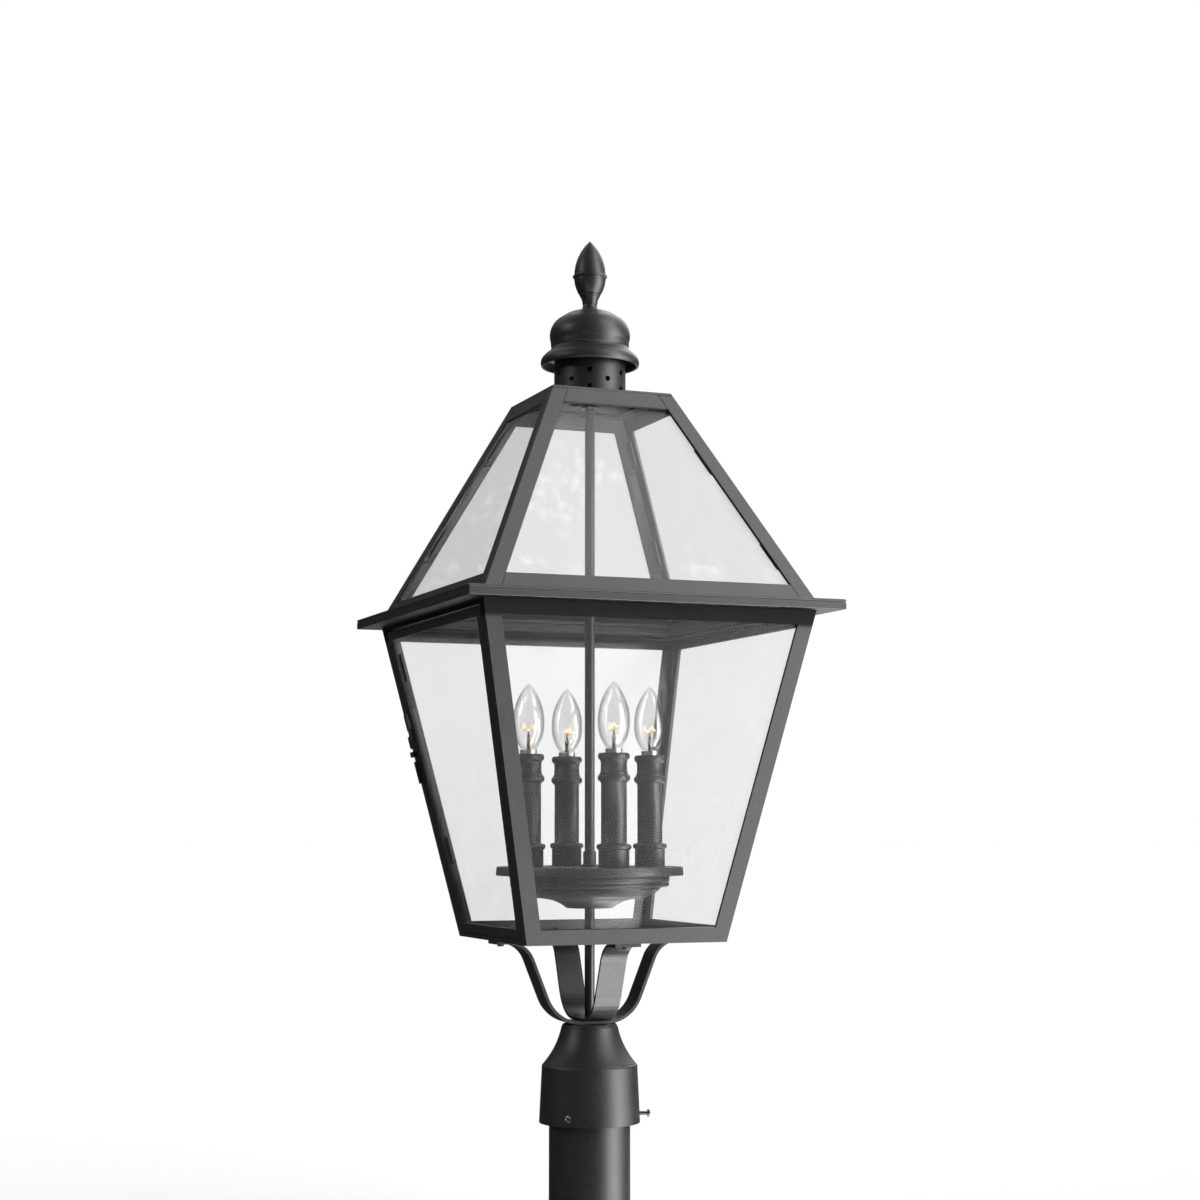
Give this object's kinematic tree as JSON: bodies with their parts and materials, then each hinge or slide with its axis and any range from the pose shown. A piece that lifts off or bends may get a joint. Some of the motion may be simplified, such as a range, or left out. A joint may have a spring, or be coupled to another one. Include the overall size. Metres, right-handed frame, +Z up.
{
  "type": "post-top lantern",
  "caption": "Square tapered post-top lantern: black metal frame, clear panes, hinged latched door, glazed roof with vent and finial, candle cluster, straps and post fitter.",
  "frame": {"origin": "centre of the post's lower end", "axes": "+Z up along the post and stem; glazed faces look along X and Y; the door is the -X face; the wide face of the picture looks along -Y"},
  "size_m": [0.3628, 0.3628, 0.9546],
  "materials": {
    "black_iron": "fine satin powder coat, black",
    "black_cast": "fine satin powder coat over castings, black",
    "clear_glass": "clear flat glass",
    "bulb_glass": "clear thin blown glass",
    "dark_steel": "blackened steel fastener",
    "socket_shell": "nickel-plated shell",
    "wire_cover": "pale insulation"
  },
  "bodies": {
    "lantern": {"post_top": "black_cast", "fitter": "black_cast", "strap_x": "black_iron", "strap_y": "black_iron", "strap_fasteners": "black_iron", "stem_rod": "black_iron", "stem_nuts": "dark_steel", "rod_coupling": "black_cast", "bottom_rails": "black_iron", "door_surround": "black_iron", "corner_stiles": "black_iron", "top_rails": "black_iron", "glass_front": "clear_glass", "glass_right": "clear_glass", "glass_back": "clear_glass", "body_glass_clips": "black_iron", "eave_frame": "black_iron", "eave_cover": "black_iron", "roof_base_rails": "black_iron", "roof_hips": "black_iron", "roof_top_rails": "black_iron", "roof_glass_front": "clear_glass", "roof_glass_right": "clear_glass", "roof_glass_back": "clear_glass", "roof_glass_left": "clear_glass", "roof_glass_clips": "black_iron", "roof_plate": "black_iron", "vent_collar": "black_cast", "vent_cap": "black_cast", "finial": "black_cast", "cluster_plate": "black_cast", "cluster_step": "black_cast", "cluster_bowl": "black_cast", "candle_sleeve_1": "black_cast", "candle_sleeve_2": "black_cast", "candle_sleeve_3": "black_cast", "candle_sleeve_4": "black_cast", "candle_sockets": "socket_shell", "socket_wires": "wire_cover", "wire_nuts": "wire_cover", "door_pins": "dark_steel", "latch_keeper": "black_cast"},
    "door": {"door_stiles": "black_iron", "door_rails": "black_iron", "door_glass": "clear_glass", "door_glass_clips": "black_iron", "latch_guide": "black_cast"},
    "latch_bolt_body": {"latch_bolt": "black_cast"},
    "bulb_1": {"bulb_glass_1": "bulb_glass", "bulb_base_1": "socket_shell"},
    "bulb_2": {"bulb_glass_2": "bulb_glass", "bulb_base_2": "socket_shell"},
    "bulb_3": {"bulb_glass_3": "bulb_glass", "bulb_base_3": "socket_shell"},
    "bulb_4": {"bulb_glass_4": "bulb_glass", "bulb_base_4": "socket_shell"},
    "front_set_screw": {"set_screw_front": "dark_steel"},
    "rear_set_screw": {"set_screw_rear": "dark_steel"},
    "long_screw": {"retaining_screw": "dark_steel"}
  },
  "joints": [
    {"name": "door_hinge", "type": "hinge", "parent": "lantern", "child": "door", "pos_m": [-0.1271, -0.11185, 0.43162], "axis": [-0.2009, -0.2009, 0.9588], "range_deg": [0, 105]},
    {"name": "latch_slide", "type": "slide", "parent": "door", "child": "latch_bolt_body", "axis": [0.2009, -0.2009, -0.9588], "range_m": [0, 0.009]},
    {"name": "bulb_1_lift", "type": "slide", "parent": "lantern", "child": "bulb_1", "axis": [0, 0, 1], "range_m": [0, 0.022]},
    {"name": "bulb_2_lift", "type": "slide", "parent": "lantern", "child": "bulb_2", "axis": [0, 0, 1], "range_m": [0, 0.022]},
    {"name": "bulb_3_lift", "type": "slide", "parent": "lantern", "child": "bulb_3", "axis": [0, 0, 1], "range_m": [0, 0.022]},
    {"name": "bulb_4_lift", "type": "slide", "parent": "lantern", "child": "bulb_4", "axis": [0, 0, 1], "range_m": [0, 0.022]},
    {"name": "front_screw_slide", "type": "slide", "parent": "lantern", "child": "front_set_screw", "axis": [-0.7278, -0.6858, 0], "range_m": [0, 0.004]},
    {"name": "rear_screw_slide", "type": "slide", "parent": "lantern", "child": "rear_set_screw", "axis": [-0.23, 0.9732, 0], "range_m": [0, 0.004]},
    {"name": "long_screw_slide", "type": "slide", "parent": "lantern", "child": "long_screw", "axis": [0.9578, -0.2874, 0], "range_m": [0, 0.006]}
  ]
}
